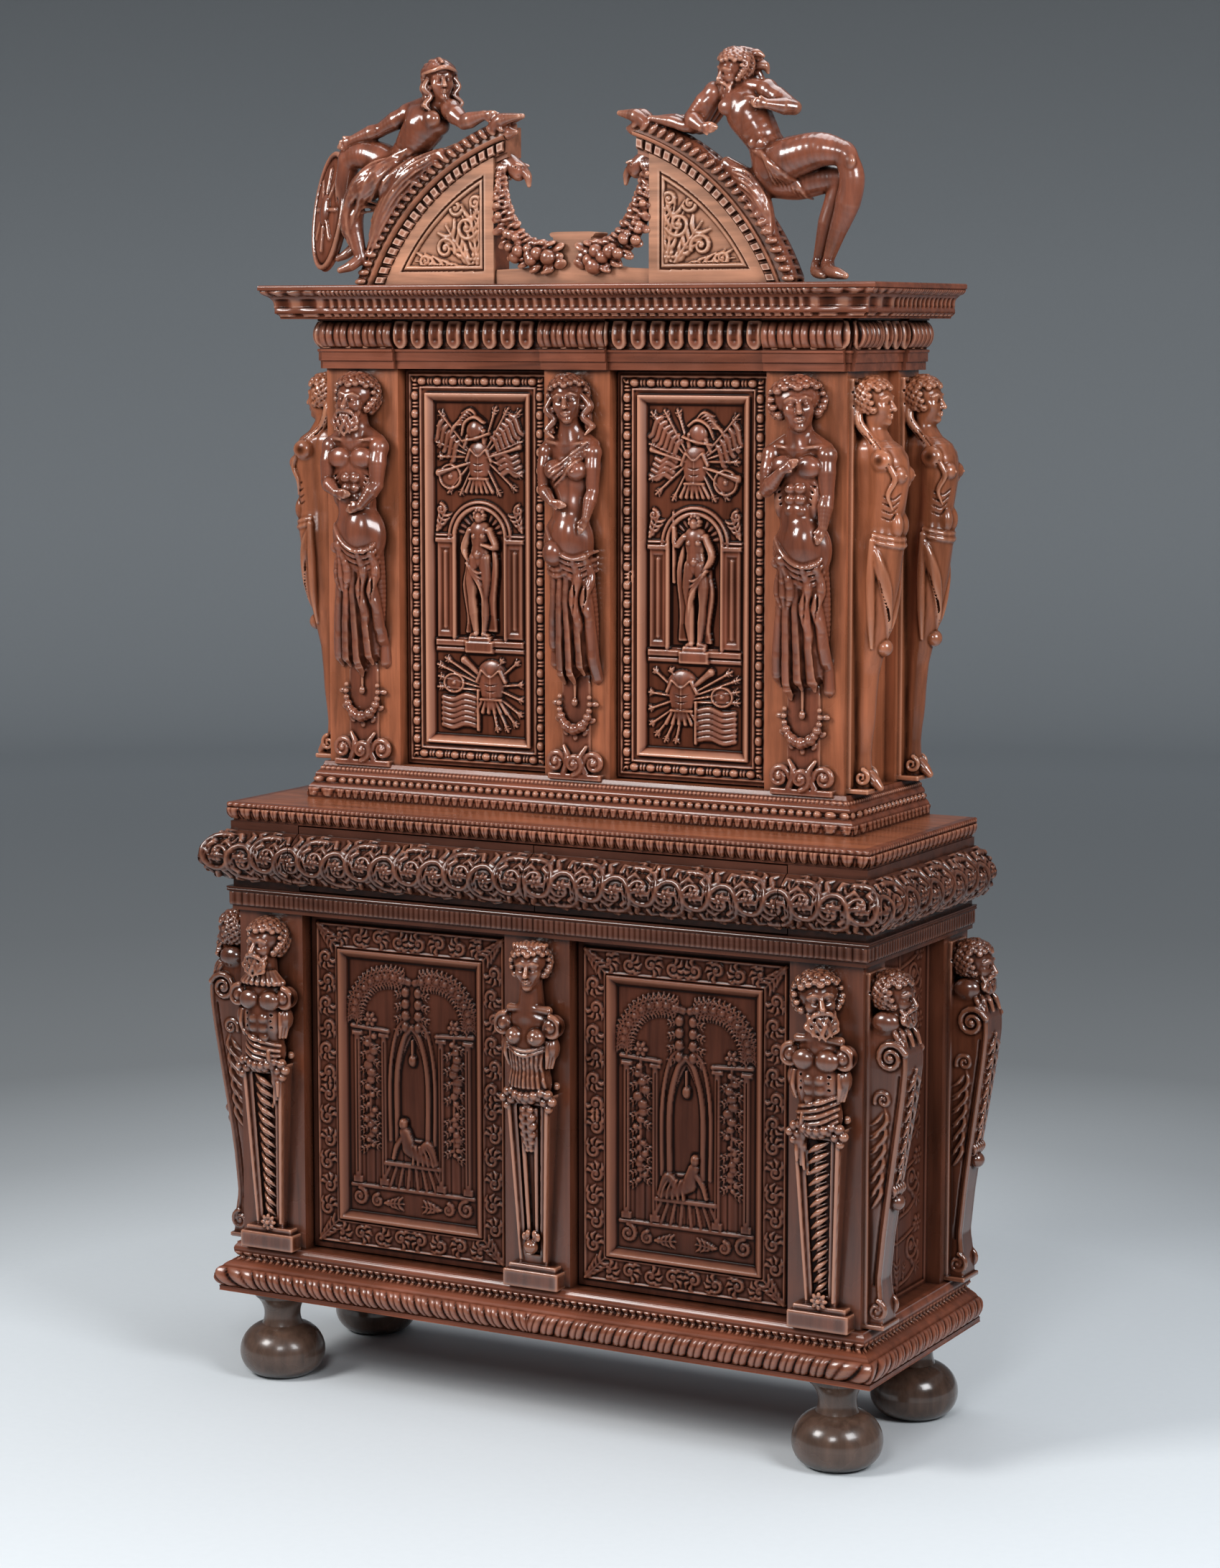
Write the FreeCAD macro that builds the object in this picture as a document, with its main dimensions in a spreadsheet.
"""Carved two-part cabinet with a broken pediment: four pivoted doors and two frieze drawers.

Millimetres, +Z up. The origin is on the floor, midway across the width and the depth; -Y is the front.
"""
import FreeCAD, Part
import math
import os

import Sketcher

# Driving dimensions, in millimetres.
SIZES = {
    # Depth of the whole piece, taken from its middle to the flat back.
    "half_depth": 257,
    # Turned bun feet.
    "foot_height": 169,
    "foot_radius": 82,
    "foot_belly": 46,
    "foot_pad_radius": 46,
    "foot_neck_radius": 39,
    "foot_neck": 100,
    "foot_flange_radius": 52,
    "foot_flange": 14,
    "foot_inset_side": 60,
    "foot_inset_front": 38,
    "foot_inset_back": 85,
    "spigot_radius": 14,
    "spigot_length": 45,
    # Lower stage.
    "lower_half_width": 650,
    "lower_front": 204,
    "lower_post_width": 141,
    "lower_post_depth": 90,
    "lower_back_post_width": 80,
    "lower_back_post_depth": 110,
    "lower_opening": 648,
    "base_height": 93,
    "base_reach": 38,
    "base_crown": 12,
    "base_fillet": 9,
    "base_fillet_inset": 2,
    "base_gadroon": 44,
    "base_bead": 24,
    "base_bead_reach": 15,
    "lower_architrave_height": 45,
    "lower_architrave_reach": 18,
    "frieze_height": 125,
    "frieze_cove": 13,
    "frieze_fillet": 16,
    "frieze_reach": 53,
    "frieze_lip": 14,
    "waist_height": 36,
    "waist_reach": 16,
    # Upper stage.
    "upper_half_width": 540,
    "upper_front": 52,
    "upper_post_width": 157,
    "upper_post_depth": 88,
    "upper_back_post_width": 70,
    "upper_back_post_depth": 90,
    "upper_opening": 746,
    "plinth_height": 68,
    "plinth_reach": 32,
    "upper_frieze_height": 92,
    "upper_architrave_height": 36,
    "upper_frieze_reach": 12,
    "bracket_reach": 14,
    "cornice_height": 62,
    "cornice_reach": 93,
    # Boards, rails and panels of both stages.
    "centre_half_width": 68,
    "centre_post_depth": 60,
    "board": 28,
    "rail": 40,
    "front_rail": 60,
    "side_panel": 20,
    "side_panel_relief": 3,
    "side_panel_border": 9,
    "relief_sink": 1,
    "lower_side_recess": 30,
    "upper_side_recess": 20,
    "back_panel": 12,
    "shelf": 20,
    "lower_shelf_height": 310,
    "upper_shelf_height": 360,
    "shelf_setback": 90,
    "fit_clearance": 0.3,
    # Doors; a bore reaches past the end of its pin by the bore spare.
    "door_setback": 28,
    "door_thickness": 24,
    "door_gap": 3,
    "lower_stile": 78,
    "upper_stile": 58,
    "strip_inset": 13,
    "strip_width": 26,
    "strip_relief": 10,
    "door_panel": 12,
    "door_panel_setback": 6,
    "panel_tongue": 8,
    "pivot_inset": 26,
    "pivot_setback": 10,
    "pin_radius": 5,
    "pin_length": 30,
    "pin_clearance": 0.05,
    "lock_width": 50,
    "lock_height": 70,
    "lock_depth": 12,
    "bore_spare": 1,
    "panel_relief": 6,
    "panel_niche": 4,
    # Drawers.
    "drawer_gap": 2,
    "drawer_core": 20,
    "drawer_side": 12,
    "drawer_bottom": 8,
    "drawer_bottom_lift": 6,
    "drawer_box_height": 96,
    "drawer_box_depth": 385,
    "drawer_divider": 16,
    "drawer_guide_height": 20,
    "drawer_lock_height": 36,
    # Carved herms on the pilasters and on the sides.
    "herm_margin": 5,
    "herm_clearance": 4,
    "upper_herm_reach": 66,
    "lower_herm_reach": 52,
    "upper_side_herm_reach": 100,
    "lower_side_herm_reach": 80,
    "upper_side_herm_width": 76,
    "lower_side_herm_width": 76,
    # Broken pediment.
    "arch_radius": 473,
    "arch_band": 52,
    "arch_drop": 170,
    "arch_tip": 134,
    "arch_front": 92,
    "arch_depth": 72,
    "tympanum_gap": 160,
    "tympanum_front": 70,
    "tympanum_thickness": 50,
    "block_strip": 30,
    "block_height": 94,
    "block_foot": 75,
    "block_top": 38,
    "garland_reach": 56,
}

# Length of a Bezier handle for a quarter of an ellipse, as a share of its radius.
QUARTER_HANDLE = 0.5523
# Radius of a foot's arcs as a share of their chords.
FOOT_ARC = 0.8
# How far the frieze's cove and top fillet stand out, as shares of its lip.
COVE_SHARE = 0.6
FILLET_SHARE = 0.8
# Share of the upper architrave's reach and height that its lower step takes.
LOWER_STEP = 0.5

# Steps of the plain mouldings as (share of the reach, share of the height where the step starts).
LOWER_ARCHITRAVE_STEPS = [(0.55, 0), (0.75, 0.2), (1.0, 0.82)]
WAIST_STEPS = [(0.45, 0), (0.7, 0.2), (1.0, 0.55)]
PLINTH_STEPS = [(1.0, 0), (0.78, 0.28), (0.5, 0.55), (0.25, 0.85)]
CORNICE_STEPS = [(0.68, 0), (0.76, 0.14), (0.84, 0.5), (1.0, 0.8)]

doc = FreeCAD.newDocument("Cabinet")
sheet = doc.addObject("Spreadsheet::Sheet", "Sizes")
nodes = []


class Size:
    """A number together with the sheet expression that gives it."""

    def __init__(self, value, text):
        self.value = value
        self.text = text

    def __add__(self, other):
        other = as_size(other)
        return Size(self.value + other.value, f"({self.text} + {other.text})")

    def __sub__(self, other):
        other = as_size(other)
        return Size(self.value - other.value, f"({self.text} - {other.text})")

    def __mul__(self, other):
        other = as_size(other)
        return Size(self.value * other.value, f"({self.text} * {other.text})")

    def __truediv__(self, other):
        other = as_size(other)
        return Size(self.value / other.value, f"({self.text} / {other.text})")

    def __radd__(self, other):
        return as_size(other) + self

    def __rsub__(self, other):
        return as_size(other) - self

    def __rmul__(self, other):
        return as_size(other) * self

    def __neg__(self):
        return Size(-self.value, f"(0 - {self.text})")


def as_size(number):
    return number if isinstance(number, Size) else Size(float(number), repr(float(number)))


def root(size):
    return Size(math.sqrt(size.value), f"sqrt({size.text})")


class Sheet:
    """The sheet's sizes, read by name."""

    def __getattr__(self, name):
        return Size(float(sheet.get(name)), "Sizes." + name)


def fill_sheet():
    for row, (name, value) in enumerate(SIZES.items(), start=1):
        sheet.set(f"A{row}", name)
        sheet.set(f"B{row}", str(value))
        sheet.setAlias(f"B{row}", name)
    doc.recompute()


def bind(item, prop, amount):
    item.setExpression(prop, as_size(amount).text)


def place(item, x, y, z, turn=0):
    """Set an item at a point, turned about the vertical by a fixed angle."""
    upright = FreeCAD.Vector(0, 0, 1)
    item.Placement = FreeCAD.Placement(FreeCAD.Vector(), FreeCAD.Rotation(upright, turn))
    for axis, amount in zip("xyz", (x, y, z)):
        bind(item, "Placement.Base." + axis, amount)
    return item


def box(name, x, y, z):
    """A board between two limits on each axis."""
    solid = doc.addObject("Part::Box", name)
    for prop, (low, high) in zip(("Length", "Width", "Height"), (x, y, z)):
        bind(solid, prop, as_size(high) - low)
    return place(solid, x[0], y[0], z[0])


def cylinder(name, radius, x, y, z):
    solid = doc.addObject("Part::Cylinder", name)
    bind(solid, "Radius", radius)
    bind(solid, "Height", as_size(z[1]) - z[0])
    return place(solid, x, y, z[0])


def rounded(name, spot, half_sizes):
    """An oval form about a point, with its half sizes along x, y and z."""
    solid = doc.addObject("Part::Ellipsoid", name)
    for prop, amount in zip(("Radius2", "Radius3", "Radius1"), half_sizes):
        bind(solid, prop, amount)
    return place(solid, *spot)


def group(name, members):
    bundle = doc.addObject("Part::Compound", name)
    bundle.Links = members
    return bundle


def cut(name, base, tools):
    result = doc.addObject("Part::Cut", name)
    result.Base = base
    result.Tool = tools[0] if len(tools) == 1 else group(name + "_tools", tools)
    return result


def fused(name, members):
    whole = doc.addObject("Part::MultiFuse", name)
    whole.Shapes = members
    return whole


def mirror(name, source):
    """The same piece on the other side of the cabinet."""
    copy = doc.addObject("Part::Mirroring", name)
    copy.Source = source
    copy.Normal = FreeCAD.Vector(1, 0, 0)
    return copy


def node(label, item):
    item.Label = label
    nodes.append(item)
    return item


def node_pair(label, item):
    """A right-hand node and its left-hand mirror image."""
    node(label.format("right"), item)
    node(label.format("left"), mirror(item.Name + "_left", item))


def grown(limits, amount):
    return limits[0] - amount, limits[1] + amount


# Sketches.


def origin_plane(body, role):
    return next(plane for plane in body.Origin.OriginFeatures if plane.Role == role)


def point(corner):
    return FreeCAD.Vector(as_size(corner[0]).value, as_size(corner[1]).value, 0)


def sketch_arc(start, end, radius, turn):
    """The short arc from start to end; turn is +1 for anticlockwise travel and -1 for clockwise."""
    chord = end - start
    rise = math.sqrt(radius ** 2 - chord.Length ** 2 / 4)
    left = FreeCAD.Vector(-chord.y, chord.x, 0) / chord.Length
    centre = (start + end) / 2 + left * rise * turn
    first, last = (start, end) if turn > 0 else (end, start)
    angles = [math.atan2(p.y - centre.y, p.x - centre.x) for p in (first, last)]
    circle = Part.Circle(centre, FreeCAD.Vector(0, 0, 1), radius)
    return Part.ArcOfCircle(circle, angles[0], angles[1])


def add_bound(sketch, constraint, amount):
    number = sketch.addConstraint(constraint)
    sketch.setExpression(f"Constraints[{number}]", amount.text)


def draw_loop(sketch, corners):
    """A closed outline of (u, v) corners; a corner with a radius and a turn starts an arc."""
    ends = []
    for corner, following in zip(corners, corners[1:] + corners[:1]):
        if len(corner) == 2:
            index = sketch.addGeometry(Part.LineSegment(point(corner), point(following)))
            ends.append((index, 1, 2))
        else:
            radius, turn = as_size(corner[2]), corner[3]
            index = sketch.addGeometry(sketch_arc(point(corner), point(following), radius.value, turn))
            ends.append((index, 1, 2) if turn > 0 else (index, 2, 1))
            add_bound(sketch, Sketcher.Constraint("Radius", index, radius.value), radius)
    for place_in_loop, (index, start, end) in enumerate(ends):
        following = ends[(place_in_loop + 1) % len(ends)]
        sketch.addConstraint(Sketcher.Constraint("Coincident", index, end, following[0], following[1]))
        for kind, axis, amount in zip(("DistanceX", "DistanceY"), (-2, -1), corners[place_in_loop]):
            amount = as_size(amount)
            if amount.value == 0:
                sketch.addConstraint(Sketcher.Constraint("PointOnObject", index, start, axis))
            else:
                fixed = Sketcher.Constraint(kind, -1, 1, index, start, amount.value)
                add_bound(sketch, fixed, amount)


def draw(body, role, loops):
    sketch = body.newObject("Sketcher::SketchObject", f"{body.Name}_{role}")
    sketch.AttachmentSupport = [(origin_plane(body, role), "")]
    sketch.MapMode = "FlatFace"
    for loop in loops:
        draw_loop(sketch, loop)
    return sketch


def padded(name, role, loop, length):
    """A body made of one outline pushed out to a length."""
    body = doc.addObject("PartDesign::Body", name)
    pad = body.newObject("PartDesign::Pad", name + "_pad")
    pad.Profile = draw(body, role, [loop])
    bind(pad, "Length", length)
    return body


def crown_radius(chord, crown):
    """Radius of the arc that rises by crown over a straight chord."""
    return (chord * chord / 4 + crown * crown) / (2 * crown)


# Mouldings: a profile of (outward, up) corners whose back lies on the carcase.


def moulding_length(name, profile, run, reach, mitres):
    """One length along +X, mitred at its start, its end or both; outward is +Y."""
    full = run + reach * len(mitres)
    body = padded(name, "YZ_Plane", profile, full)
    loops = []
    if "start" in mitres:
        loops.append([(0, 0), (reach, 0), (0, reach)])
    if "end" in mitres:
        loops.append([(full - reach, 0), (full, 0), (full, reach)])
    pocket = body.newObject("PartDesign::Pocket", name + "_mitres")
    pocket.Profile = draw(body, "XY_Plane", loops)
    pocket.Type = "ThroughAll"
    pocket.Reversed = True
    return body


def side_length(name, profile, half_width, front, z, reach):
    """The left side's length, from its mitre at the front corner to the flat back."""
    length = moulding_length(name, profile, front + s.half_depth, reach, ["start"])
    return place(length, -half_width, -front - reach, z, 90)


def ring(name, profile, half_width, front, z, reach):
    """Front, left and right lengths round three sides of a stage."""
    front_length = moulding_length(name + "_front", profile, 2 * half_width, reach, ["start", "end"])
    place(front_length, half_width + reach, -front, z, 180)
    left = side_length(name + "_side", profile, half_width, front, z, reach)
    return group(name, [front_length, left, mirror(name + "_side_right", left)])


def base_profile():
    crown_foot = s.base_reach - s.base_crown
    gadroon_top = s.base_fillet + s.base_gadroon
    neck = s.base_bead_reach / 2
    bead_foot = s.base_height - s.base_bead
    bead_crown = s.base_bead_reach / 3
    return [
        (0, 0),
        (s.base_reach - s.base_fillet_inset, 0),
        (s.base_reach - s.base_fillet_inset, s.base_fillet),
        (crown_foot, s.base_fillet, crown_radius(s.base_gadroon, s.base_crown), 1),
        (crown_foot, gadroon_top),
        (neck, bead_foot),
        (s.base_bead_reach - bead_crown, bead_foot, crown_radius(s.base_bead, bead_crown), 1),
        (s.base_bead_reach - bead_crown, s.base_height),
        (0, s.base_height),
    ]


def stepped_profile(height, reach, steps):
    """Flat steps, each from its own start to the next one's."""
    corners = [(0, 0)]
    for step, (out, start) in enumerate(steps):
        end = steps[step + 1][1] if step + 1 < len(steps) else 1
        corners.append((reach * out, height * start if start else 0))
        corners.append((reach * out, height * end))
    return corners + [(0, height)]


def frieze_profile(core, bottom, top):
    """The bulging frieze: a cove, the bulge and a flat fillet, in front of a core."""
    bulge = s.frieze_height - s.frieze_cove - s.frieze_fillet
    bulge_top = s.frieze_cove + bulge
    crown = s.frieze_reach - s.frieze_lip
    cove_out = core + s.frieze_lip * COVE_SHARE
    fillet_out = core + s.frieze_lip * FILLET_SHARE
    return [
        (0, bottom),
        (cove_out, bottom),
        (cove_out, s.frieze_cove),
        (core + s.frieze_lip, s.frieze_cove, crown_radius(bulge, crown), 1),
        (core + s.frieze_lip, bulge_top),
        (fillet_out, bulge_top),
        (fillet_out, top),
        (0, top),
    ]


# Carved work: flat-backed forms lofted through half ovals.


def half_oval(half_width, reach, z):
    """A flat-backed oval outline: straight along X at y = 0, bulging to -Y."""
    vec = FreeCAD.Vector
    side, out = half_width * QUARTER_HANDLE, reach * QUARTER_HANDLE
    quarters = (
        [vec(half_width, 0, z), vec(half_width, -out, z), vec(side, -reach, z), vec(0, -reach, z)],
        [vec(0, -reach, z), vec(-side, -reach, z), vec(-half_width, -out, z), vec(-half_width, 0, z)],
    )
    edges = []
    for poles in quarters:
        curve = Part.BezierCurve()
        curve.setPoles(poles)
        edges.append(curve.toShape())
    edges.append(Part.LineSegment(vec(-half_width, 0, z), vec(half_width, 0, z)).toShape())
    return Part.Wire(edges)


def carving(name, stations, height, half_width, reach):
    """A carved form through stations of (height, width, reach), each a share of its size."""
    wires = []
    for up, wide, out in stations:
        wires.append(half_oval(half_width.value * wide, reach.value * out, height.value * up))
    form = doc.addObject("Part::Feature", name)
    form.Shape = Part.makeLoft(wires, True, True)
    return form


# Stations from the foot to the crown of the head, as (height, half width, reach) shares.
UPPER_HERM = (
    (0.000, 0.80, 0.30), (0.050, 0.84, 0.34), (0.075, 0.42, 0.14), (0.125, 0.42, 0.18), (0.150, 0.56, 0.26),
    (0.195, 0.34, 0.22), (0.265, 0.58, 0.44), (0.430, 0.66, 0.58), (0.610, 0.78, 0.72), (0.690, 0.66, 0.62),
    (0.785, 0.98, 0.84), (0.830, 0.92, 0.66), (0.858, 0.36, 0.58), (0.890, 0.46, 0.84), (0.945, 0.58, 1.00),
    (0.985, 0.50, 0.80), (1.000, 0.24, 0.46),
)
LOWER_HERM = (
    (0.000, 0.72, 0.50), (0.050, 0.72, 0.50), (0.060, 0.40, 0.30), (0.250, 0.46, 0.42), (0.450, 0.62, 0.62),
    (0.580, 0.90, 0.82), (0.660, 0.66, 0.70), (0.760, 0.84, 0.90), (0.800, 0.76, 0.74), (0.830, 0.38, 0.66),
    (0.870, 0.52, 0.94), (0.940, 0.60, 1.00), (0.985, 0.50, 0.80), (1.000, 0.24, 0.46),
)
UPPER_SIDE_HERM = (
    (0.000, 0.90, 0.32), (0.040, 0.90, 0.32), (0.060, 0.60, 0.22), (0.200, 0.62, 0.30), (0.340, 0.70, 0.52),
    (0.370, 0.70, 0.60), (0.400, 0.72, 0.58), (0.600, 0.84, 0.86), (0.740, 0.96, 1.00), (0.820, 0.80, 0.66),
    (0.850, 0.44, 0.44), (0.890, 0.56, 0.58), (0.940, 0.60, 0.62), (1.000, 0.26, 0.34),
)
LOWER_SIDE_HERM = (
    (0.000, 0.90, 0.44), (0.060, 0.90, 0.44), (0.080, 0.56, 0.34), (0.220, 0.60, 0.44), (0.340, 0.66, 0.62),
    (0.380, 0.66, 0.66), (0.560, 0.84, 0.88), (0.740, 0.96, 1.00), (0.820, 0.84, 0.86), (0.850, 0.50, 0.64),
    (0.900, 0.62, 0.84), (0.950, 0.62, 0.86), (1.000, 0.26, 0.50),
)
GARLAND = (
    (0.00, 0.50, 0.90), (0.14, 0.90, 1.00), (0.26, 0.80, 0.70), (0.45, 0.70, 0.36), (0.66, 0.70, 0.34),
    (0.76, 0.60, 0.70), (0.84, 0.66, 0.98), (0.92, 0.60, 0.62), (1.00, 0.40, 0.30),
)


# Reclining figures: limbs along straight bones, seated on the arch.


# Thickness of a bone at its ends, as a share of the round joint there.
BONE_SHARE = 0.9


def limb(start, end, start_radius, end_radius):
    """A tapered bone between two round joints."""
    along = end - start
    first, last = start_radius * BONE_SHARE, end_radius * BONE_SHARE
    if first == last:
        return Part.makeCylinder(first, along.Length, start, along)
    return Part.makeCone(first, last, along.Length, start, along)


# Joints of the body as (degrees round the arch from its top, height above the arch, forward of the middle),
# in millimetres for an arch of this radius.
FIGURE_ARCH = 473
LEFT_FIGURE = {
    "head": (26.6, 132, 9), "neck": (30.5, 98, 2), "chest": (34.5, 74, 8), "hips": (44.5, 30, 1),
    "near_hand": (20.0, 9, 13), "near_elbow": (25.0, 42, 20), "near_shoulder": (30.0, 90, 24),
    "far_shoulder": (38.0, 102, -3), "far_elbow": (44.0, 124, -9), "far_hand": (48.0, 148, 4),
    "far_knee": (49.5, 158, 12), "far_foot": (70.0, 68, 3), "near_knee": (58.0, 60, 34),
    "near_foot": (69.0, 46, 27), "shield_top": (54.5, 166, -7), "shield_foot": (69.4, 90, 6),
}
RIGHT_FIGURE = {
    "head": (32.0, 160, 8), "neck": (34.0, 122, 3), "chest": (37.5, 84, 7), "hips": (44.5, 31, 11),
    "near_hand": (22.5, 9, 6), "near_elbow": (27.0, 62, 9), "near_shoulder": (33.0, 106, 12),
    "far_shoulder": (41.0, 106, 10), "far_elbow": (44.5, 134, 14), "far_hand": (40.0, 118, 30),
    "far_knee": (56.0, 190, 20), "far_foot": (70.3, 73, 22), "near_knee": (54.5, 100, 34),
    "near_foot": (69.4, 49, 32),
}
# Radius of each round joint, for the same arch.
JOINT_RADIUS = {
    "head": 37, "neck": 20, "chest": 47, "hips": 43, "shoulder": 24, "elbow": 16, "hand": 14, "knee": 26,
    "foot": 18, "top": 34, "shield_foot": 36,
}
# Bones between those joints.
BONES = (
    ("head", "neck"), ("neck", "chest"), ("chest", "hips"), ("near_shoulder", "chest"),
    ("far_shoulder", "chest"), ("near_shoulder", "near_elbow"), ("near_elbow", "near_hand"),
    ("far_shoulder", "far_elbow"), ("far_elbow", "far_hand"), ("hips", "far_knee"),
    ("far_knee", "far_foot"), ("hips", "near_knee"), ("near_knee", "near_foot"),
)
SHIELD = ("shield_top", "shield_foot")


def joint_radius(joint):
    return JOINT_RADIUS.get(joint) or JOINT_RADIUS[joint.split("_")[1]]


def figure(name, joints, bones, side):
    """One reclining figure, cut to sit on its arch and on the cornice."""
    centre_z = pediment.value - s.arch_drop.value
    middle_y = s.arch_depth.value / 2 - s.arch_front.value
    scale = s.arch_radius.value / FIGURE_ARCH
    places = {}
    for joint, (angle, above, forward) in joints.items():
        out = s.arch_radius.value + scale * above
        turn = math.radians(angle)
        places[joint] = FreeCAD.Vector(side * out * math.sin(turn), middle_y - scale * forward,
                                       centre_z + out * math.cos(turn))
    limbs = [Part.makeSphere(scale * joint_radius(joint), spot) for joint, spot in places.items()]
    for first, last in bones:
        limbs.append(limb(places[first], places[last], scale * joint_radius(first),
                          scale * joint_radius(last)))
    body = limbs[0].multiFuse(limbs[1:])
    seat = Part.makeCylinder(s.arch_radius.value, 2 * s.half_depth.value,
                             FreeCAD.Vector(0, -s.half_depth.value, centre_z), FreeCAD.Vector(0, 1, 0))
    span = 2 * s.lower_half_width.value
    floor = Part.makeBox(span, span, span, FreeCAD.Vector(-span / 2, -span / 2, pediment.value - span))
    form = doc.addObject("Part::Feature", name)
    form.Shape = body.cut([seat, floor])
    return form


# Low relief on the panels, as (across from the middle, up, half width, half height) shares of the field.
DOOR_RELIEF = (
    (0.28, 0.925, 0.220, 0.026), (0.66, 0.895, 0.200, 0.030), (0.90, 0.835, 0.070, 0.040),
    (0.11, 0.865, 0.060, 0.036), (0.11, 0.785, 0.055, 0.036), (0.66, 0.630, 0.100, 0.055),
    (0.66, 0.515, 0.110, 0.060), (0.68, 0.375, 0.080, 0.075), (0.16, 0.255, 0.150, 0.045),
    (0.84, 0.070, 0.120, 0.036),
)
# The niche's half width, foot and top.
NICHE = (0.20, 0.31, 0.64)
# Scrolls and flowers beside a side panel's stem, and its leaf as (up, half width, half height), in each row.
SIDE_RELIEF = ((0.48, 0.62, 0.22, 0.30), (0.68, 0.90, 0.13, 0.14), (0.62, 0.30, 0.14, 0.14))
SIDE_LEAF = (0.32, 0.11, 0.20)
SIDE_ROWS = 5


def carved_door_panel(name, panel, field_x, field_z, face):
    """A door's panel with hanging fruit, a canopy and a sunk niche."""
    middle = (field_x[0] + field_x[1]) / 2
    half = (field_x[1] - field_x[0]) / 2
    tall = field_z[1] - field_z[0]
    forms = [panel]
    for number, (across, up, wide, high) in enumerate(DOOR_RELIEF):
        for side, sign in (("inner", -1), ("outer", 1)):
            spot = (middle + half * (sign * across), face + s.relief_sink, field_z[0] + tall * up)
            half_sizes = (half * wide, s.panel_relief + s.relief_sink, tall * high)
            forms.append(rounded(f"{name}_{side}_fruit_{number}", spot, half_sizes))
    wide, low, high = NICHE
    niche = box(name + "_niche", (middle - half * wide, middle + half * wide), (face, face + s.panel_niche),
                (field_z[0] + tall * low, field_z[0] + tall * high))
    return cut(name, fused(name + "_relief", forms), [niche])


def carved_side_panel(name, panel, face, field_y, field_z):
    """A side panel with a raised border and rows of scrolls about a stem of leaves."""
    out = (face, face + s.side_panel_relief)
    edge_y, edge_z = grown(field_y, -s.side_panel_border), grown(field_z, -s.side_panel_border)
    forms = [
        panel,
        box(name + "_front_border", out, (field_y[0], edge_y[0]), field_z),
        box(name + "_back_border", out, (edge_y[1], field_y[1]), field_z),
        box(name + "_low_border", out, (edge_y[0], edge_y[1]), (field_z[0], edge_z[0])),
        box(name + "_high_border", out, (edge_y[0], edge_y[1]), (edge_z[1], field_z[1])),
    ]
    middle = (field_y[0] + field_y[1]) / 2
    half = (field_y[1] - field_y[0]) / 2
    row = (edge_z[1] - edge_z[0]) / SIDE_ROWS
    root = face - s.relief_sink
    thick = s.side_panel_relief + s.relief_sink
    for number in range(SIDE_ROWS):
        foot = edge_z[0] + row * number
        up, wide, high = SIDE_LEAF
        forms.append(rounded(f"{name}_leaf_{number}", (root, middle, foot + row * up),
                             (thick, half * wide, row * high)))
        for kind, (across, up, wide, high) in enumerate(SIDE_RELIEF):
            for side, sign in (("front", -1), ("back", 1)):
                spot = (root, middle + half * (sign * across), foot + row * up)
                forms.append(rounded(f"{name}_{side}_scroll_{number}_{kind}", spot,
                                     (thick, half * wide, row * high)))
    return fused(name, forms)


# The stages.


def build_feet():
    flange_foot = s.foot_height - s.foot_flange
    belly_chord = root((s.foot_radius - s.foot_pad_radius) * (s.foot_radius - s.foot_pad_radius)
                       + s.foot_belly * s.foot_belly)
    shoulder_rise = s.foot_neck - s.foot_belly
    shoulder_run = s.foot_radius - s.foot_neck_radius
    shoulder_chord = root(shoulder_run * shoulder_run + shoulder_rise * shoulder_rise)
    throat_rise = flange_foot - s.foot_neck
    throat_run = s.foot_flange_radius - s.foot_neck_radius
    throat_chord = root(throat_run * throat_run + throat_rise * throat_rise)
    profile = [
        (0, 0),
        (s.foot_pad_radius, 0, belly_chord * FOOT_ARC, 1),
        (s.foot_radius, s.foot_belly, shoulder_chord * FOOT_ARC, 1),
        (s.foot_neck_radius, s.foot_neck, throat_chord * FOOT_ARC, -1),
        (s.foot_flange_radius, flange_foot),
        (s.foot_flange_radius, s.foot_height),
        (s.spigot_radius, s.foot_height),
        (s.spigot_radius, s.foot_height + s.spigot_length),
        (0, s.foot_height + s.spigot_length),
    ]
    feet = []
    for name, y in (("front", foot_front), ("back", foot_back)):
        body = doc.addObject("PartDesign::Body", f"foot_{name}")
        turning = body.newObject("PartDesign::Revolution", f"foot_{name}_turning")
        turning.Profile = draw(body, "XZ_Plane", [profile])
        turning.ReferenceAxis = (turning.Profile[0], ["V_Axis"])
        turning.Angle = 360
        place(body, foot_x, y, 0)
        feet += [body, mirror(f"foot_{name}_left", body)]
    node("bun_feet", group("bun_feet_group", feet))


def bored_post(name, x, y, z, foot_y):
    """A corner post with the hole for its foot's spigot."""
    hole = cylinder(name + "_bore", s.spigot_radius + s.fit_clearance, foot_x, foot_y,
                    (z[0], z[0] + s.spigot_length + s.bore_spare))
    return cut(name, box(name + "_blank", x, y, z), [hole])


def post_group(label, front_post, back_post):
    posts = [front_post, mirror(front_post.Name + "_left", front_post)]
    posts += [back_post, mirror(back_post.Name + "_left", back_post)]
    node(label, group(label + "_group", posts))


def notched_board(label, half_width, y, z, corner_posts, bores):
    """A board across a stage, notched round its posts and bored for any door pins."""
    blank = box(label + "_blank", (-half_width, half_width), y, z)
    notches = []
    for number, (post_x, post_y) in enumerate(corner_posts):
        notch = box(f"{label}_notch_{number}", post_x, post_y, grown(z, s.fit_clearance))
        notches += [notch, mirror(notch.Name + "_left", notch)]
    node(label, cut(label + "_board", blank, notches + bores))


def pin_pair(name, radius, x, y, z):
    pin = cylinder(name, radius, x, y, z)
    return [pin, mirror(name + "_left", pin)]


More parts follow.
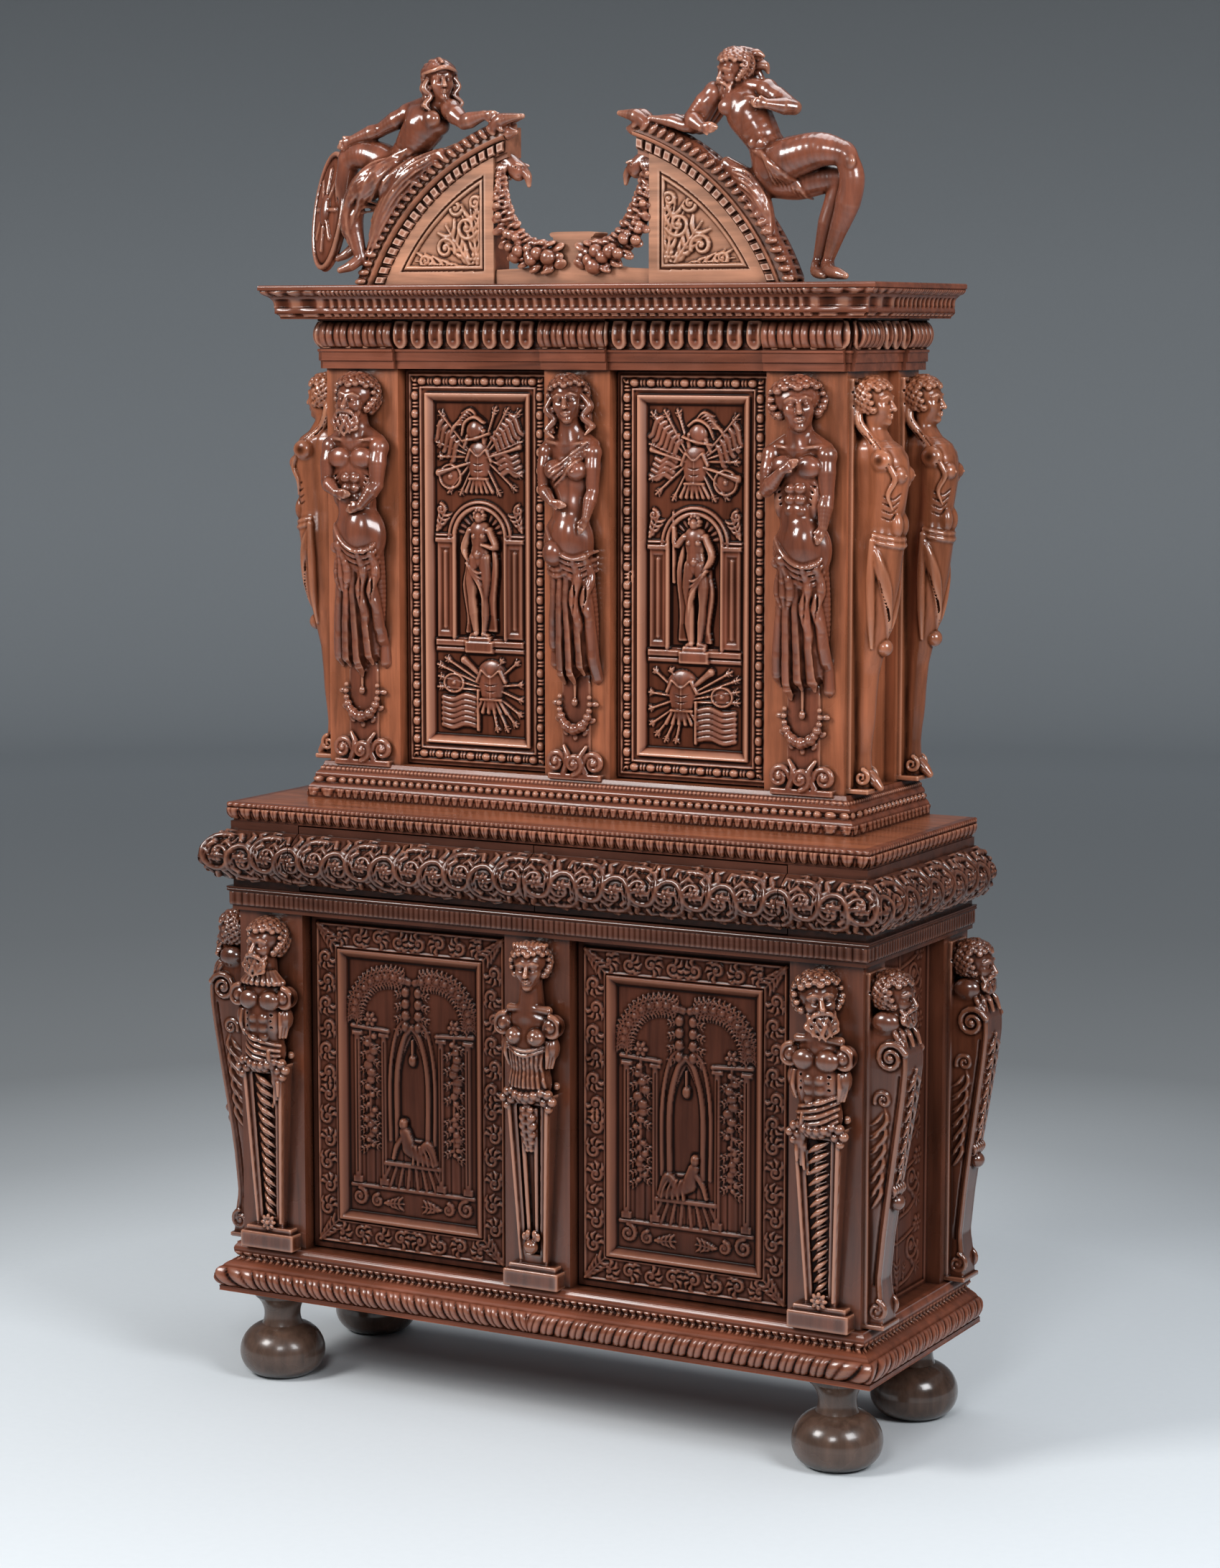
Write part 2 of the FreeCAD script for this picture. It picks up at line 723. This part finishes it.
def build_lower_stage():
    front_x = (lower_opening_x, s.lower_half_width)
    front_y = (-s.lower_front, s.lower_post_depth - s.lower_front)
    back_x = (back_inner, s.lower_half_width)
    back_y = (s.half_depth - s.lower_back_post_depth, s.half_depth)
    post_z = (s.foot_height, waist)
    post_group("lower_corner_posts",
               bored_post("lower_front_post", front_x, front_y, post_z, foot_front),
               bored_post("lower_back_post", back_x, back_y, post_z, foot_back))

    rail_z = (s.foot_height, lower_floor - s.board)
    side_rail = box("base_side_rail", (s.lower_half_width - s.rail, s.lower_half_width),
                    (front_y[1], back_y[0]), rail_z)
    rail_bores = pin_pair("drawer_rail_bore", s.pin_radius, lower_pivot_x, lower_pivot_y,
                          (lower_top, lower_top + pin_seat))
    drawer_rail = box("drawer_rail_blank", (-lower_opening_x, lower_opening_x),
                      (-s.lower_front, s.front_rail - s.lower_front), (lower_top, frieze - s.board))
    rails = [
        box("base_front_rail", (-lower_opening_x, lower_opening_x), (-s.lower_front, s.rail - s.lower_front),
            rail_z),
        box("base_back_rail", (-back_inner, back_inner), (s.half_depth - s.rail, s.half_depth), rail_z),
        side_rail,
        mirror("base_side_rail_left", side_rail),
        cut("drawer_rail", drawer_rail, rail_bores),
    ]
    node("lower_rails", group("lower_rails_group", rails))

    notches = [(grown(front_x, s.fit_clearance), grown(front_y, s.fit_clearance)),
               (grown(back_x, s.fit_clearance), grown(back_y, s.fit_clearance))]
    floor_bores = pin_pair("lower_floor_bore", s.pin_radius, lower_pivot_x, lower_pivot_y,
                           (lower_floor - pin_seat, lower_floor))
    notched_board("lower_bottom_board", s.lower_half_width, (-s.lower_front, s.half_depth),
                  (lower_floor - s.board, lower_floor), notches, floor_bores)
    inside_x = s.lower_half_width - s.lower_side_recess - s.side_panel
    notched_board("dust_board", inside_x, (-s.lower_front, panel_face), (frieze - s.board, frieze),
                  notches, [])
    panel_y = (front_y[1], back_y[0])
    blank = box("lower_side_board", (inside_x, inside_x + s.side_panel), panel_y, (lower_floor, waist))
    panel = carved_side_panel("lower_side_panel", blank, inside_x + s.side_panel, panel_y,
                              (lower_floor, lower_top))
    node("lower_side_panels", group("lower_side_panels_group",
                                    [panel, mirror("lower_side_panel_left", panel)]))
    node("lower_back_panel", box("lower_back_board", (-back_inner, back_inner), (panel_face, s.half_depth),
                                 (lower_floor, waist)))
    shelf_z = lower_floor + s.lower_shelf_height
    node("lower_shelf", box("lower_shelf_board", (-back_inner, back_inner),
                            (s.shelf_setback - s.lower_front, panel_face), (shelf_z, shelf_z + s.shelf)))
    node("lower_centre_post", box("lower_muntin", (-s.centre_half_width, s.centre_half_width),
                                  (-s.lower_front, s.centre_post_depth - s.lower_front),
                                  (lower_floor, lower_top)))
    node("waist_board", box("waist_slab", (-s.lower_half_width, s.lower_half_width),
                            (-s.lower_front, s.half_depth), (waist, plinth)))

    node("base_moulding", ring("base_ring", base_profile(), s.lower_half_width, s.lower_front,
                               s.foot_height, s.base_reach))
    architrave = stepped_profile(s.lower_architrave_height, s.lower_architrave_reach,
                                 LOWER_ARCHITRAVE_STEPS)
    node("lower_architrave", ring("lower_architrave_ring", architrave, s.lower_half_width, s.lower_front,
                                  lower_top, s.lower_architrave_reach))
    slab = stepped_profile(s.waist_height, s.waist_reach, WAIST_STEPS)
    node("waist_moulding", ring("waist_ring", slab, s.lower_half_width, s.lower_front, waist, s.waist_reach))


def build_frieze_and_drawers():
    whole = frieze_profile(0, 0, s.frieze_height)
    side = side_length("frieze_side", whole, s.lower_half_width, s.lower_front, frieze, s.frieze_reach)
    corner = moulding_length("frieze_corner", whole, s.lower_post_width, s.frieze_reach, ["start"])
    place(corner, s.lower_half_width + s.frieze_reach, -s.lower_front, frieze, 180)
    ends = [side, mirror("frieze_side_right", side), corner, mirror("frieze_corner_left", corner)]
    node("frieze_ends", group("frieze_ends_group", ends))

    inside_x = s.lower_half_width - s.lower_side_recess - s.side_panel
    core_back = s.drawer_core - s.lower_front
    divider_half = s.drawer_divider / 2
    box_x = (divider_half + s.drawer_gap, lower_opening_x - s.drawer_gap)
    guide = box("drawer_guide", (lower_opening_x, inside_x),
                (s.lower_post_depth - s.lower_front, s.half_depth - s.lower_back_post_depth),
                (frieze, frieze + s.drawer_guide_height))
    divider = box("drawer_centre_divider", (-divider_half, divider_half),
                  (core_back + s.drawer_gap, panel_face), (frieze, waist))
    node("drawer_runners", group("drawer_runners_group",
                                 [divider, guide, mirror("drawer_guide_left", guide)]))

    half_gap = s.drawer_gap / 2
    front = padded("drawer_front", "YZ_Plane",
                   frieze_profile(s.drawer_core, s.drawer_gap, s.frieze_height - s.drawer_gap),
                   lower_opening_x - s.drawer_gap - half_gap)
    place(front, lower_opening_x - s.drawer_gap, core_back, frieze, 180)
    node_pair("drawer_{}_front", front)

    side_z = (frieze + s.fit_clearance, frieze + s.fit_clearance + s.drawer_box_height)
    box_y = (core_back, core_back + s.drawer_box_depth)
    inner_x = (box_x[0] + s.drawer_side, box_x[1] - s.drawer_side)
    back_y = (box_y[1] - s.drawer_side, box_y[1])
    bottom_z = (side_z[0] + s.drawer_bottom_lift, side_z[0] + s.drawer_bottom_lift + s.drawer_bottom)
    boards = [
        box("drawer_inner_side", (box_x[0], inner_x[0]), box_y, side_z),
        box("drawer_outer_side", (inner_x[1], box_x[1]), box_y, side_z),
        box("drawer_back", inner_x, back_y, side_z),
        box("drawer_bottom_board", inner_x, (box_y[0], back_y[0]), bottom_z),
    ]
    node_pair("drawer_{}_box", group("drawer_box", boards))

    middle = (box_x[0] + box_x[1]) / 2
    lock_top = frieze + s.frieze_height - s.drawer_gap
    half_lock = s.lock_width / 2
    node_pair("drawer_{}_lock", box("drawer_lock_case", (middle - half_lock, middle + half_lock),
                                    (core_back, core_back + s.lock_depth),
                                    (lock_top - s.drawer_lock_height, lock_top)))


def build_upper_stage():
    front_x = (upper_opening_x, s.upper_half_width)
    front_y = (-s.upper_front, s.upper_post_depth - s.upper_front)
    back_inner_x = s.upper_half_width - s.upper_back_post_width
    back_x = (back_inner_x, s.upper_half_width)
    back_y = (s.half_depth - s.upper_back_post_depth, s.half_depth)
    case_top = pediment - s.board
    post_z = (plinth, case_top)
    post_group("upper_corner_posts", box("upper_front_post", front_x, front_y, post_z),
               box("upper_back_post", back_x, back_y, post_z))

    front_rail_y = (-s.upper_front, s.front_rail - s.upper_front)
    sill_z = (plinth, upper_floor - s.board)
    side_rail = box("upper_side_rail", (s.upper_half_width - s.rail, s.upper_half_width),
                    (front_y[1], back_y[0]), sill_z)
    head_bores = pin_pair("upper_head_bore", s.pin_radius, upper_pivot_x, upper_pivot_y,
                          (upper_top, upper_top + pin_seat))
    head_rail = box("upper_head_blank", (-upper_opening_x, upper_opening_x), front_rail_y,
                    (upper_top, case_top))
    rails = [
        box("upper_front_rail", (-upper_opening_x, upper_opening_x), front_rail_y, sill_z),
        box("upper_back_rail", (-back_inner_x, back_inner_x), (s.half_depth - s.rail, s.half_depth), sill_z),
        side_rail,
        mirror("upper_side_rail_left", side_rail),
        cut("upper_head_rail", head_rail, head_bores),
    ]
    node("upper_rails", group("upper_rails_group", rails))

    notches = [(grown(front_x, s.fit_clearance), grown(front_y, s.fit_clearance)),
               (grown(back_x, s.fit_clearance), grown(back_y, s.fit_clearance))]
    floor_bores = pin_pair("upper_floor_bore", s.pin_radius, upper_pivot_x, upper_pivot_y,
                           (upper_floor - pin_seat, upper_floor))
    notched_board("upper_bottom_board", s.upper_half_width, (-s.upper_front, s.half_depth),
                  (upper_floor - s.board, upper_floor), notches, floor_bores)
    inside_x = s.upper_half_width - s.upper_side_recess - s.side_panel
    panel = box("upper_side_panel", (inside_x, inside_x + s.side_panel), (front_y[1], back_y[0]),
                (upper_floor, case_top))
    node("upper_side_panels", group("upper_side_panels_group",
                                    [panel, mirror("upper_side_panel_left", panel)]))
    node("upper_back_panel", box("upper_back_board", (-back_inner_x, back_inner_x),
                                 (panel_face, s.half_depth), (upper_floor, case_top)))
    shelf_z = upper_floor + s.upper_shelf_height
    node("upper_shelf", box("upper_shelf_board", (-back_inner_x, back_inner_x),
                            (s.shelf_setback - s.upper_front, panel_face), (shelf_z, shelf_z + s.shelf)))
    node("upper_centre_post", box("upper_muntin", (-s.centre_half_width, s.centre_half_width),
                                  (-s.upper_front, s.centre_post_depth - s.upper_front),
                                  (upper_floor, upper_top)))
    node("top_board", box("top_slab", (-s.upper_half_width, s.upper_half_width),
                          (-s.upper_front, s.half_depth), (case_top, pediment)))

    plinth_corners = stepped_profile(s.plinth_height, s.plinth_reach, PLINTH_STEPS)
    node("upper_plinth", ring("plinth_ring", plinth_corners, s.upper_half_width, s.upper_front, plinth,
                              s.plinth_reach))
    step_reach = s.upper_frieze_reach * LOWER_STEP
    step_top = s.upper_architrave_height * LOWER_STEP
    frieze_corners = [
        (0, 0),
        (step_reach, 0),
        (step_reach, step_top),
        (s.upper_frieze_reach, step_top),
        (s.upper_frieze_reach, s.upper_frieze_height),
        (0, s.upper_frieze_height),
    ]
    lengths = ring("upper_frieze_ring", frieze_corners, s.upper_half_width, s.upper_front, upper_top,
                   s.upper_frieze_reach)
    node("upper_frieze", group("upper_frieze_group", [lengths] + brackets(back_y)))
    cornice_corners = stepped_profile(s.cornice_height, s.cornice_reach, CORNICE_STEPS)
    node("cornice", ring("cornice_ring", cornice_corners, s.upper_half_width, s.upper_front, cornice,
                         s.cornice_reach))


def brackets(back_y):
    """Breakfront brackets on the frieze over each pilaster and each side herm."""
    face_y = -s.upper_front - s.upper_frieze_reach
    face_x = s.upper_half_width + s.upper_frieze_reach
    z = (upper_top + s.upper_architrave_height, cornice)
    front_y = (face_y - s.bracket_reach, face_y)
    corner = box("corner_bracket", (upper_opening_x, s.upper_half_width), front_y, z)
    side_x = (face_x, face_x + s.bracket_reach)
    near = box("side_front_bracket", side_x, (-s.upper_front, s.upper_post_depth - s.upper_front), z)
    far = box("side_back_bracket", side_x, back_y, z)
    blocks = [box("centre_bracket", (-s.centre_half_width, s.centre_half_width), front_y, z)]
    for bracket in (corner, near, far):
        blocks += [bracket, mirror(bracket.Name + "_left", bracket)]
    return blocks


def build_doors(stage, opening_x, front, z, stile):
    """A stage's pair of framed doors: stiles, rails, an applied strip and a panel in a groove."""
    x = (s.centre_half_width + s.door_gap, opening_x - s.door_gap)
    face = s.door_setback - front
    y = (face, face + s.door_thickness)
    z = (z[0] + s.door_gap, z[1] - s.door_gap)
    pivot_x, pivot_y = x[1] - s.pivot_inset, face + s.pivot_setback
    inner_x, inner_z = grown(x, -stile), grown(z, -stile)
    panel_y = (face + s.door_panel_setback, face + s.door_panel_setback + s.door_panel)
    panel_x, panel_z = grown(inner_x, s.panel_tongue), grown(inner_z, s.panel_tongue)
    panel = box(stage + "_door_panel", panel_x, panel_y, panel_z)
    if stage == "lower":
        panel = carved_door_panel(stage + "_carved_panel", panel, inner_x, inner_z, panel_y[0])

    members = {
        "hinge_stile": ((inner_x[1], x[1]), z),
        "closing_stile": ((x[0], inner_x[0]), z),
        "bottom_rail": (inner_x, (z[0], inner_z[0])),
        "top_rail": (inner_x, (inner_z[1], z[1])),
    }
    pieces = []
    for member, (member_x, member_z) in members.items():
        name = f"{stage}_{member}"
        groove = box(name + "_groove", grown(panel_x, s.fit_clearance), grown(panel_y, s.fit_clearance),
                     grown(panel_z, s.fit_clearance))
        tools = [groove]
        if member == "hinge_stile":
            bore = s.pin_radius + s.pin_clearance
            depth = s.pin_length / 2 + s.bore_spare
            tools += [cylinder(name + "_low_bore", bore, pivot_x, pivot_y, (z[0], z[0] + depth)),
                      cylinder(name + "_high_bore", bore, pivot_x, pivot_y, (z[1] - depth, z[1]))]
        pieces.append(cut(name, box(name + "_blank", member_x, y, member_z), tools))

    strip_x, strip_z = grown(x, -s.strip_inset), grown(z, -s.strip_inset)
    strip_inner_x, strip_inner_z = grown(strip_x, -s.strip_width), grown(strip_z, -s.strip_width)
    strip_y = (face - s.strip_relief, face)
    pieces += [
        box(stage + "_inner_strip", (strip_x[0], strip_inner_x[0]), strip_y, strip_z),
        box(stage + "_outer_strip", (strip_inner_x[1], strip_x[1]), strip_y, strip_z),
        box(stage + "_low_strip", strip_inner_x, strip_y, (strip_z[0], strip_inner_z[0])),
        box(stage + "_high_strip", strip_inner_x, strip_y, (strip_inner_z[1], strip_z[1])),
    ]
    node_pair(stage + "_door_{}_frame", group(stage + "_door_frame", pieces))
    node_pair(stage + "_door_{}_panel", panel)

    middle = (z[0] + z[1]) / 2
    lock_x = (x[0] + s.lock_depth / 2, x[0] + s.lock_depth / 2 + s.lock_width)
    node(stage + "_door_right_lock", box(stage + "_door_lock", lock_x, (y[1], y[1] + s.lock_depth),
                                         (middle - s.lock_height / 2, middle + s.lock_height / 2)))


def build_pins():
    """Iron pins that stand in the boards and rails, two to a door."""
    pins = []
    for stage, x, y, low, high in (("lower", lower_pivot_x, lower_pivot_y, lower_floor, lower_top),
                                   ("upper", upper_pivot_x, upper_pivot_y, upper_floor, upper_top)):
        in_door = s.pin_length / 2 + s.door_gap
        pins += pin_pair(stage + "_low_pin", s.pin_radius, x, y, (low - pin_seat, low + in_door))
        pins += pin_pair(stage + "_high_pin", s.pin_radius, x, y, (high - in_door, high + pin_seat))
    node("door_pivot_pins", group("door_pins", pins))


def front_herms(stage, stations, floor, top, front, opening_x, post_width, reach):
    height = top - floor - s.herm_clearance
    corner_half = post_width / 2 - s.herm_margin
    centre_half = s.centre_half_width - s.herm_margin
    corner_x = opening_x + post_width / 2
    for side, x, half in (("left", -corner_x, corner_half), ("centre", as_size(0), centre_half),
                          ("right", corner_x, corner_half)):
        form = carving(f"{stage}_herm_{side}_form", stations, height, half, reach)
        node(f"{stage}_herm_{side}", place(form, x, -front, floor))


def side_herms(stage, stations, floor, top, half_width, front, post_depths, width, reach):
    height = top - floor - s.herm_clearance
    herms = []
    for name, y in (("front", post_depths[0] / 2 - front), ("back", s.half_depth - post_depths[1] / 2)):
        for side, turn, x in (("right", 90, half_width), ("left", -90, -half_width)):
            form = carving(f"{stage}_{name}_{side}_herm", stations, height, width / 2, reach)
            herms.append(place(form, x, y, floor, turn))
    node(f"{stage}_side_herms", group(f"{stage}_side_herms_group", herms))


def build_herms():
    front_herms("upper", UPPER_HERM, upper_floor, upper_top, s.upper_front, upper_opening_x,
                s.upper_post_width, s.upper_herm_reach)
    front_herms("lower", LOWER_HERM, lower_floor, lower_top, s.lower_front, lower_opening_x,
                s.lower_post_width, s.lower_herm_reach)
    side_herms("upper", UPPER_SIDE_HERM, upper_floor, upper_top, s.upper_half_width, s.upper_front,
               (s.upper_post_depth, s.upper_back_post_depth), s.upper_side_herm_width,
               s.upper_side_herm_reach)
    side_herms("lower", LOWER_SIDE_HERM, lower_floor, lower_top, s.lower_half_width, s.lower_front,
               (s.lower_post_depth, s.lower_back_post_depth), s.lower_side_herm_width,
               s.lower_side_herm_reach)


def on_circle(radius, x):
    """Height over the pediment's foot of a circle of the arch at x."""
    return root(radius * radius - x * x) - s.arch_drop


def build_pediment():
    inner = s.arch_radius - s.arch_band
    inner_foot = root(inner * inner - s.arch_drop * s.arch_drop)
    outer_foot = root(s.arch_radius * s.arch_radius - s.arch_drop * s.arch_drop)
    gap_top = on_circle(inner, s.tympanum_gap)
    field = [(s.tympanum_gap, 0), (inner_foot, 0, inner, 1), (s.tympanum_gap, gap_top)]
    back = s.tympanum_thickness - s.tympanum_front
    tympanum = padded("tympanum", "XZ_Plane", field, s.tympanum_thickness)
    node_pair("pediment_tympanum_{}", place(tympanum, 0, back, pediment))

    band = [
        (inner_foot, 0),
        (outer_foot, 0, s.arch_radius, 1),
        (s.arch_tip, on_circle(s.arch_radius, s.arch_tip)),
        (s.arch_tip, on_circle(inner, s.arch_tip), inner, -1),
    ]
    arch = padded("arch_cornice", "XZ_Plane", band, s.arch_depth)
    node_pair("arch_cornice_{}", place(arch, 0, s.arch_depth - s.arch_front, pediment))

    middle = s.tympanum_gap
    block = [
        (0, 0),
        (2 * middle, 0),
        (2 * middle, s.block_strip),
        (middle + s.block_foot, s.block_strip),
        (middle + s.block_top, s.block_height),
        (middle - s.block_top, s.block_height),
        (middle - s.block_foot, s.block_strip),
        (0, s.block_strip),
    ]
    centre = padded("centre_block", "XZ_Plane", block, s.tympanum_thickness)
    node("pediment_centre_block", place(centre, -middle, back, pediment))

    for side, sign, turn in (("right", 1, -90), ("left", -1, 90)):
        form = carving(f"garland_{side}_form", GARLAND, gap_top - s.block_strip, s.tympanum_thickness / 2,
                       s.garland_reach)
        garland_y = s.tympanum_thickness / 2 - s.tympanum_front
        garland_x, garland_z = sign * s.tympanum_gap, pediment + s.block_strip
        node(f"garland_{side}", place(form, garland_x, garland_y, garland_z, turn))
    node("reclining_figure_left", figure("left_figure", LEFT_FIGURE, BONES + (SHIELD,), -1))
    node("reclining_figure_right", figure("right_figure", RIGHT_FIGURE, BONES, 1))


def check_and_export():
    doc.recompute()
    for item in doc.Objects:
        if "Invalid" in item.State or "Error" in item.State:
            raise RuntimeError(f"{item.Label} failed: {item.State}")
    os.makedirs("parts", exist_ok=True)
    for item in nodes:
        if item.Shape.isNull() or not item.Shape.isValid() or not item.Shape.Solids:
            raise RuntimeError(f"{item.Label} has no valid solid")
    for item in nodes:
        item.Shape.exportStep(f"parts/{item.Label}.step")


fill_sheet()
s = Sheet()

# Levels from the floor up.
lower_floor = s.foot_height + s.base_height
lower_top = lower_floor + s.lower_opening
frieze = lower_top + s.lower_architrave_height
waist = frieze + s.frieze_height
plinth = waist + s.waist_height
upper_floor = plinth + s.plinth_height
upper_top = upper_floor + s.upper_opening
cornice = upper_top + s.upper_frieze_height
pediment = cornice + s.cornice_height

# Places that several pieces share.
foot_x = s.lower_half_width - s.foot_inset_side
foot_front = s.foot_inset_front - s.lower_front
foot_back = s.half_depth - s.foot_inset_back
lower_opening_x = s.lower_half_width - s.lower_post_width
upper_opening_x = s.upper_half_width - s.upper_post_width
back_inner = s.lower_half_width - s.lower_back_post_width
panel_face = s.half_depth - s.back_panel
lower_pivot_x = lower_opening_x - s.door_gap - s.pivot_inset
upper_pivot_x = upper_opening_x - s.door_gap - s.pivot_inset
lower_pivot_y = s.door_setback + s.pivot_setback - s.lower_front
upper_pivot_y = s.door_setback + s.pivot_setback - s.upper_front
pin_seat = s.pin_length / 2 - s.door_gap

build_feet()
build_lower_stage()
build_frieze_and_drawers()
build_upper_stage()
build_doors("lower", lower_opening_x, s.lower_front, (lower_floor, lower_top), s.lower_stile)
build_doors("upper", upper_opening_x, s.upper_front, (upper_floor, upper_top), s.upper_stile)
build_pins()
build_herms()
build_pediment()
check_and_export()
